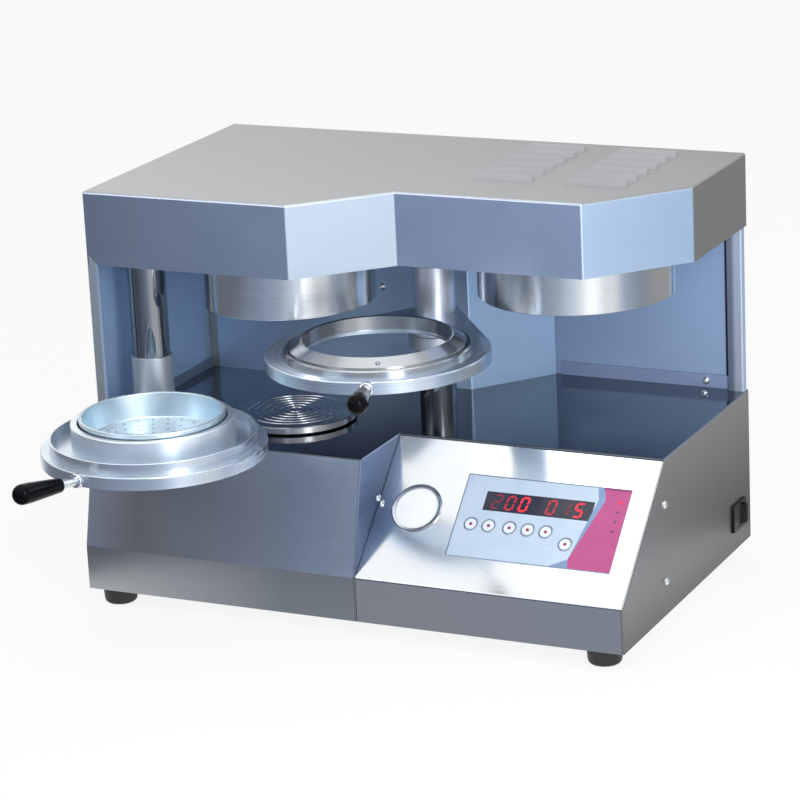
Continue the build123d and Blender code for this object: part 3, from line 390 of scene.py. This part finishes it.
sheet_steel("lid_steel", (0.5, 0.51, 0.53), [
    # painted light on every face: front and corner cut painted lighter and bluer to the right, the
    # right side a painted shaded grey, the top painted lighter at the front left, and the louvres
    # painted lighter, a painted sheen
    painted_tone(front, (0.49, 0.57, 0.71), (0.6, 0.68, 0.87), rightward(left_x, left_x + 0.3)),
    painted_tone(right_side, (0.4, 0.41, 0.42)),
    painted_tone(corner_cut, (0.45, 0.53, 0.64), (0.56, 0.71, 0.91),
         rightward(left_x + 0.27, left_x + 0.45), reach=close_reach),
    painted_tone(upward, (0.46, 0.47, 0.485), (0.275, 0.28, 0.29), ((0.5, 0.86, 0), -0.12, 0.35)),
    painted_tone(louvre_slope, (0.42, 0.43, 0.455), reach=(0.985, 0.995)),
], 0.32, (60, 1, 60))
sheet_steel("deck_steel", (0.1, 0.118, 0.138), [
    # painted light and shade: the back flange and flanges that face right painted lighter than the
    # dark top, and the top painted lighter at the far left and darker towards the middle
    painted_tone(front, (0.32, 0.4, 0.62), place=((0, 1, 0), 0.08, 0.1)),
    painted_tone(right_side, (0.2, 0.26, 0.36)),
    painted_tone(upward, (0.17, 0.18, 0.2), (0.04, 0.04, 0.05), rightward(left_x + 0.1, left_x + 0.24),
         leftward(left_x + 0.34, left_x + 0.26)),
], 0.07, (1, 60, 60), 0.02, upright=(0.3, 0.3))
sheet_steel("wall_steel", (0.41, 0.46, 0.54), [
    # the back of the left bay, then of the right bay, and the angled wall between them, each with
    # painted light and shade: lighter at the bottom, darker towards the top
    painted_tone(front, (0.5, 0.59, 0.75), (0.33, 0.39, 0.5), bay_height),
    painted_tone(front, (0.45, 0.54, 0.85), (0.27, 0.33, 0.53), bay_height, right_bay),
    painted_tone(corner_cut, (0.52, 0.72, 1.0), (0.42, 0.6, 0.86), bay_height),
    # a painted shadow line beside the rear post, then the post's face, painted lighter towards its
    # right edge, a painted highlight
    painted_tone(front, (0.03, 0.035, 0.05), place=rightward(right_x - 0.0202, right_x - 0.0195)),
    painted_tone(front, (0.2, 0.24, 0.33), (0.5, 0.57, 0.68), rightward(right_x - 0.0115, right_x - 0.008),
         rightward(right_x - 0.018, right_x - 0.0175)),
    # the front edge of the left side panel, painted light that turns a little bluer towards the
    # top, then the outer faces at the back and left
    painted_tone(front, (0.36, 0.38, 0.4), (0.34, 0.4, 0.48), bay_height,
         leftward(left_x + 0.014, left_x + 0.012)),
    painted_tone((0, 1, 0), (0.47, 0.48, 0.5)),
    painted_tone((-1, 0, 0), (0.47, 0.48, 0.5)),
], 0.38, (1, 1, 60), 0.01, 0.6)
sheet_steel("panel_steel", (0.3, 0.32, 0.36), [
    # painted light: the front skirt painted darker and the sloping panel painted near white, a
    # painted reflection
    painted_tone(front, (0.2, 0.215, 0.25), (0.2, 0.22, 0.27), rightward(0.0, right_x), reach=(0.9, 0.99)),
    painted_tone(panel_slope, (0.9, 0.94, 0.97), reach=(0.93, 0.99)),
], 0.13, (1, 60, 60), 0.01)

polished("chrome", (0.82, 0.84, 0.87), 0.04)
polished("column_steel", (0.29, 0.305, 0.33), 0.05)
polished("screw_steel", (0.86, 0.88, 0.9), 0.1)
polished("rim_steel", (0.4, 0.43, 0.48), 0.12)
turned_metal("bronze", (0.62, 0.45, 0.22), 0.3, middle_of("ram_bush"))
# the platen's upright side is painted near white against its darker top, a painted highlight
turned_metal("platen_aluminium", (0.3, 0.31, 0.33), 0.24, middle_of("lift_platen"), 2200.0,
             side=(0.95, 0.97, 1.0))
turned_metal("turned_steel", (0.6, 0.64, 0.7), 0.36, middle_of("bowl_tray_sleeve"), 2400.0,
             0.02, 0.0, 0.8)
dimpled("bowl_aluminium", (0.64, 0.75, 0.82), 0.32)
moulded("port_white", (0.93, 0.94, 0.95), 0.12, 900.0, 0.02, (0.96, 0.96, 0.97))
moulded("black_rubber", (0.008, 0.008, 0.009), 0.5, 500.0, 0.2)
moulded("silicone", (0.5, 0.16, 0.1), 0.5)
moulded("grip_black", (0.002, 0.002, 0.003), 0.16, 300.0, 0.03, (0.004, 0.004, 0.005),
        Specular_IOR_Level=0.08)
moulded("switch_black", (0.004, 0.004, 0.005), 0.25, Specular_IOR_Level=0.25)
# The record's slot is named for a red rocker, but the one in the photograph is black.
moulded("rocker_red", (0.004, 0.004, 0.005), 0.18, Specular_IOR_Level=0.25)
moulded("overlay", (0.47, 0.57, 0.7), 0.3, 1200.0, 0.03, (0.53, 0.63, 0.75))
moulded("window", (0.012, 0.013, 0.03), 0.12, 900.0, 0.01)
moulded("digits_red", (0.2, 0.02, 0.03), 0.3)
moulded("lamp_red", (0.16, 0.05, 0.12), 0.3)
moulded("key_white", (0.7, 0.76, 0.88), 0.32, 1200.0, 0.03, (0.76, 0.81, 0.9))
moulded("board_green", (0.04, 0.18, 0.07), 0.4)
moulded("motor_grey", (0.14, 0.15, 0.16), 0.45)
moulded("heater_mica", (0.42, 0.34, 0.22), 0.6)

# Nodes with a finish other than their slot's.
special_finish = {
    "port_rim": "rim_steel", "port_blank": "port_white",
    "left_column": "column_steel", "centre_column": "column_steel",
}
# Turned tray parts: the node that they turn about, top and side colours, roughness, metallic.
# The side colours are painted shade and the top colours painted light.
tray_finish_and_painted_shade = {
    "bowl_tray_plate": ("cup_ring", (0.82, 0.9, 0.97), (0.52, 0.58, 0.66), 0.28, 0.86),
    "cup_ring": ("cup_ring", (0.9, 0.95, 1.0), (0.8, 0.87, 0.94), 0.3, 0.8),
    "ring_tray_plate": ("clamp_insert", (0.7, 0.79, 0.9), (0.55, 0.63, 0.73), 0.26, 0.92),
}


def finish_for(node):
    name = node + "_metal"
    if node in tray_finish_and_painted_shade:
        centre, top, side, rough, metal = tray_finish_and_painted_shade[node]
        return turned_metal(name, top, rough, middle_of(centre), 2400.0, 0.03, 0.6, metal, side)
    if node == "clamp_insert":
        return turned_metal(name, (0.38, 0.4, 0.42), 0.24, middle_of(node), 2400.0)
    if slot_of[node] == "head_aluminium":
        return turned_metal(name, (0.68, 0.71, 0.75), 0.2, middle_of(node), 700.0, 0.04, 0.8)
    return finishes[special_finish.get(node, slot_of[node])]


for node, thing in nodes.items():
    material = finish_for(node)
    if thing.data.materials:
        for index in range(len(thing.data.materials)):
            thing.data.materials[index] = material
    else:
        thing.data.materials.append(material)


# ---- printed and lit details of the control panel ----------------------------------------
def mesh_of(work, name):
    mesh = bpy.data.meshes.new(name)
    work.to_mesh(mesh)
    work.free()
    return mesh


def placed(name, data):
    thing = bpy.data.objects.new(name, data)
    bpy.context.scene.collection.objects.link(thing)
    return thing


def piece(name, work, material, body):
    """Piece with a finish, made from a bmesh, that rides on a body."""
    bmesh.ops.recalc_face_normals(work, faces=work.faces)
    mesh = mesh_of(work, name)
    mesh.materials.append(material)
    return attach(placed(name, mesh), body)


def bridge(work, first, second, closed=True):
    """Quads between two loops of vertices."""
    count = len(first)
    for i in range(count if closed else count - 1):
        j = (i + 1) % count
        work.faces.new((first[i], first[j], second[j], second[i]))


def plate(name, outlines, low, high, material, body="housing"):
    """Thin plates on the slope: each outline is a ring of (u, v) points."""
    work = bmesh.new()
    for outline in outlines:
        bottom = [work.verts.new(slope.at(u, v, low)) for u, v in outline]
        top = [work.verts.new(slope.at(u, v, high)) for u, v in outline]
        work.faces.new(top)
        work.faces.new(bottom[::-1])
        bridge(work, bottom, top)
    return piece(name, work, material, body)


def circle(middle, radius, steps=28):
    turns = [2 * math.pi * i / steps for i in range(steps)]
    return [(middle[0] + radius * math.cos(a), middle[1] + radius * math.sin(a)) for a in turns]


def hoop(name, middle, outer, inner, low, high, material, body):
    """Flat ring on the slope."""
    work = bmesh.new()
    loops = [
        [work.verts.new(slope.at(u, v, w)) for u, v in circle(middle, radius, 48)]
        for radius, w in ((outer, low), (outer, high), (inner, high), (inner, low))
    ]
    for first, second in zip(loops, loops[1:] + loops[:1]):
        bridge(work, first, second)
    return piece(name, work, material, body)


print_dark = moulded("print_dark", (0.13, 0.17, 0.24), 0.35)
print_pink = moulded("print_pink", (0.42, 0.06, 0.2), 0.3, 1200.0, 0.03, (0.46, 0.075, 0.23))
print_slate = moulded("print_slate", (0.17, 0.26, 0.42), 0.3)
print_plum = moulded("print_plum", (0.2, 0.03, 0.12), 0.3)
dot_red = moulded("dot_red", (0.3, 0.02, 0.08), 0.4)
led_lit = lit("led_lit", (0.72, 0.015, 0.03), 0.95)
led_dim = lit("led_dim", (0.16, 0.012, 0.025), 0.4)
led_half = lit("led_half", (0.34, 0.012, 0.03), 0.6)

# The pink field fills the overlay's right end. Its left edge runs in from the top to a waist,
# out to a low corner and back to the bottom, with a slate band along it.
ink = 0.00008  # thickness of a print
wide, tall = slope.wide, slope.tall
pink_top, pink_waist, pink_low = wide - 0.0285, wide - 0.0215, wide - 0.0405
waist_v, low_v = tall - 0.0125, 0.009
band = 0.0063  # the slate band's width at the waist
half_band = 0.003  # and half of it at the top
foot_u = pink_low + 0.002  # where the edge meets the bottom
slate_foot = 0.017  # how far the slate's foot runs left of the low corner
edge = 0.001  # the border's width
trim = 0.0022  # height of the dark strip at the pink field's top
plate("pink_field", [[
    (pink_top + half_band, tall), (pink_waist, waist_v), (pink_low, low_v), (foot_u, 0.0),
    (wide, 0.0), (wide, tall),
]], 0.0, ink, print_pink)
plate("slate_band", [[
    (pink_top - half_band, tall), (pink_waist - band, waist_v), (pink_low, low_v),
    (pink_waist, waist_v), (pink_top + half_band, tall),
], [
    (pink_low, low_v), (pink_low - slate_foot, 0.0), (foot_u, 0.0),
]], 0.0, ink * 0.9, print_slate)
plate("keypad_border", [
    [(0, 0), (edge, 0), (edge, tall), (0, tall)],
    [(0, tall - edge), (pink_top - half_band, tall - edge), (pink_top - half_band, tall),
     (0, tall)],
    [(0, 0), (wide, 0), (wide, edge * 0.6), (0, edge * 0.6)],
], 0.0, ink * 1.2, print_dark)
plate("keypad_top_trim", [[
    (pink_top + half_band, tall - trim), (wide, tall - trim), (wide, tall),
    (pink_top + half_band, tall),
]], 0.0, ink * 1.6, print_plum)

# Each key has a ring near its edge and a dot, which ride on it. Radii are shares of the key's.
ring_outer, ring_inner, dot_radius = 0.98, 0.80, 0.24
for key in ("temperature", "heating_time", "pressing_time", "down", "up", "start"):
    body = "key_" + key
    middle, half, height = slope.inside(body)
    hoop("ring_" + key, middle, half * ring_outer, half * ring_inner, height, height + ink,
         print_dark, body)
    plate("dot_" + key, [circle(middle, half * dot_radius)], height, height + ink, dot_red, body)

# The top indicator lamp glows. The lamps are one node, so its lens is found by its height.
lens_reach, lens_radius, glow_radius = 0.004, 0.0014, 0.0017
lens_points = [(u, v) for u, v, _ in slope.places("indicator_lamps")]
lens_high = max(v for _, v in lens_points)
lens_us = [u for u, v in lens_points if v > lens_high - lens_reach]
lens_middle = ((min(lens_us) + max(lens_us)) / 2, lens_high - lens_radius)
lens_top = slope.inside("indicator_lamps")[2]
plate("lamp_glow", [circle(lens_middle, glow_radius)], lens_top, lens_top + ink, led_lit)

# Seven-segment digits on the window, which lean to the right.
window_middle, window_half, window_top = slope.inside("display_window")
window_left = window_middle[0] - window_half
digit_width, digit_height = 0.0066, 0.0128
pitch = 0.0127  # from one digit to the next
thickness, tip_length, gap = 0.0015 * 1.25, 0.0015 * 0.55, 0.0015 * 0.165  # of a segment
lean = math.tan(math.radians(9))
shapes = {"0": "abcdef", "1": "bc", "2": "abged", "5": "afgcd"}


def bar(x0, y0, x1, y1):
    """Pointed bar of a digit from one end to the other."""
    run = Vector((x1 - x0, y1 - y0)).normalized()
    side = Vector((-run.y, run.x)) * thickness / 2
    tip = run * tip_length
    start, end = Vector((x0, y0)) + run * gap, Vector((x1, y1)) - run * gap
    ring = [start, start + tip + side, end - tip + side, end, end - tip - side, start + tip - side]
    return [(point.x, point.y) for point in ring]


def digit(shape, u, v):
    w, h = digit_width / 2, digit_height / 2
    ends = {
        "a": (-w, h, w, h), "b": (w, h, w, 0), "c": (w, 0, w, -h), "d": (-w, -h, w, -h),
        "e": (-w, 0, -w, -h), "f": (-w, h, -w, 0), "g": (-w, 0, w, 0),
    }
    return [
        [(u + x + y * lean, v + y) for x, y in bar(*ends[letter])] for letter in shapes[shape]
    ]


# name, digits, middle of the first one, and the glow of each
digit_rows = (
    ("temperature_digits", "200", window_left + 0.0115, (led_dim, led_half, led_lit)),
    ("time_digits", "015", window_left + 0.0625, (led_half, led_dim, led_lit)),
)
for name, text, start, glows in digit_rows:
    for i, (shape, glow) in enumerate(zip(text, glows)):
        rings = digit(shape, start + pitch * i, window_middle[1])
        plate(f"{name}_{i}", rings, window_top, window_top + ink, glow)

# ---- floor and world ---------------------------------------------------------------------
floor_reach, floor_z = 6, -0.0005
floor_white = 0.85  # how far the floor is shown white: the rest keeps the shadow
sky_strength = 0.66
work = bmesh.new()
work.faces.new([
    work.verts.new((x * floor_reach, y * floor_reach, floor_z))
    for x, y in ((-1, -1), (1, -1), (1, 1), (-1, 1))
])
floor = placed("floor", mesh_of(work, "floor"))
floor_material, make = new_material("floor_material")
diffuse = make.made("ShaderNodeBsdfDiffuse", (0.92, 0.93, 0.95))[0]
glow = make.made("ShaderNodeEmission", (1, 1, 1))[0]
whitened = make.math("MULTIPLY", make.shown_white(), floor_white)
make.output(make.made("ShaderNodeMixShader", whitened, diffuse, glow)[0])
floor.data.materials.append(floor_material)

world = bpy.data.worlds.new("studio")
bpy.context.scene.world = world
make = Maker(world)
height = make.spread(make.split(make.places["Generated"])["Z"], -1.0, 1.0)
sky = make.ramp(height, (
    (0.0, (0.5, 0.55, 0.65)), (0.5, (0.62, 0.68, 0.8)), (0.72, (0.92, 0.94, 0.97)),
    (1.0, (1.0, 1.0, 1.0)),
))
lighting = make.made("ShaderNodeBackground", sky, sky_strength)[0]
white = make.made("ShaderNodeBackground", (1, 1, 1))[0]
make.output(make.made("ShaderNodeMixShader", make.shown_white(), lighting, white)[0],
            "ShaderNodeOutputWorld")


# ---- lamps and mirror cards --------------------------------------------------------------
def softbox(name, place, target, size, power, color=(1, 1, 1)):
    data = bpy.data.lights.new(name, "AREA")
    data.shape = "RECTANGLE"
    data.size, data.size_y = size
    data.energy = power
    data.color = color
    lamp = placed(name, data)
    lamp.location = place
    aim = Vector(target) - Vector(place)
    lamp.rotation_euler = aim.to_track_quat("-Z", "Y").to_euler()
    lamp.visible_camera = False


softbox("overhead", (0.1, -0.2, 1.9), (0, 0, 0.1), (1.6, 1.6), 8)
softbox("strip", (1.05, -0.95, 0.62), (0.0, 0.05, 0.2), (0.36, 1.2), 14, (0.96, 0.98, 1.0))
softbox("front_left", (-1.2, -2.0, 1.3), (0, 0, 0.2), (1.0, 1.0), 6, (0.9, 0.95, 1.0))

# Grey cards on the floor and round the object give its metal something to mirror, as in a
# studio. Only gloss sees them. Bearings run from -180 to 180 degrees: -90 is the front, 0 the
# right. The cards leave a gap at the back left, from 110 to 150 degrees.
card_middle = (casing_low + casing_high) / 2
card_profile = ((0.37, 0.001), (1.0, 0.001), (1.02, 0.02), (1.02, 0.5))  # radius, height
card_turns = [math.radians(step) for step in range(150, 471, 4)]
card_tones = (
    (-180, (0.46, 0.49, 0.53)), (-165, (0.17, 0.18, 0.2)), (-130, (0.16, 0.18, 0.22)),
    (-105, (0.27, 0.32, 0.42)), (-80, (0.42, 0.48, 0.58)), (-62, (0.75, 0.82, 0.92)),
    (-52, (1, 1, 1)), (-20, (1, 1, 1)), (-8, (0.45, 0.52, 0.62)), (8, (0.32, 0.36, 0.42)),
    (30, (0.4, 0.39, 0.38)), (85, (0.42, 0.42, 0.42)), (112, (1, 1, 1)), (180, (1, 1, 1)),
)
work = bmesh.new()
loops = [
    [work.verts.new((card_middle.x + radius * math.cos(a), card_middle.y + radius * math.sin(a), z))
     for a in card_turns]
    for radius, z in card_profile
]
for first, second in zip(loops, loops[1:]):
    bridge(work, first, second, closed=False)
cards = placed("cards", mesh_of(work, "cards"))
cards.visible_camera = False
cards.visible_diffuse = False
cards.visible_transmission = False
cards.visible_shadow = False
card_material, make = new_material("card_material")
x, y, _ = make.split(make.vector("SUBTRACT", make.coords, card_middle))
bearing = make.spread(make.math("ARCTAN2", y, x), -math.pi, math.pi)
stops = [((degrees + 180) / 360, color) for degrees, color in card_tones]
make.output(make.made("ShaderNodeEmission", make.ramp(bearing, stops))[0])
cards.data.materials.append(card_material)

# ---- camera: to the front right, a little above the lid, with a long lens ------------------
feet_height = 0.014
camera_place = casing_low - Vector((0, 0, feet_height)) + Vector((1.5014, -2.4043, 1.0373))
yaw, tilt, roll = math.radians(26.13), math.radians(-16.95), math.radians(-2.73)
camera_data = bpy.data.cameras.new("camera")
camera_data.sensor_width = 36
camera_data.lens = 148.6
camera_data.clip_end = 20
forward = Vector((-math.sin(yaw) * math.cos(tilt), math.cos(yaw) * math.cos(tilt), math.sin(tilt)))
right = Vector((math.cos(yaw), math.sin(yaw), 0))
up = right.cross(forward)
turned_right = right * math.cos(roll) + up * math.sin(roll)
turned_up = up * math.cos(roll) - right * math.sin(roll)
turn = Matrix((turned_right, turned_up, -forward)).transposed().to_4x4()
camera = placed("camera", camera_data)
camera.matrix_world = Matrix.Translation(camera_place) @ turn
bpy.context.scene.camera = camera
bpy.context.scene.view_settings.view_transform = "Standard"
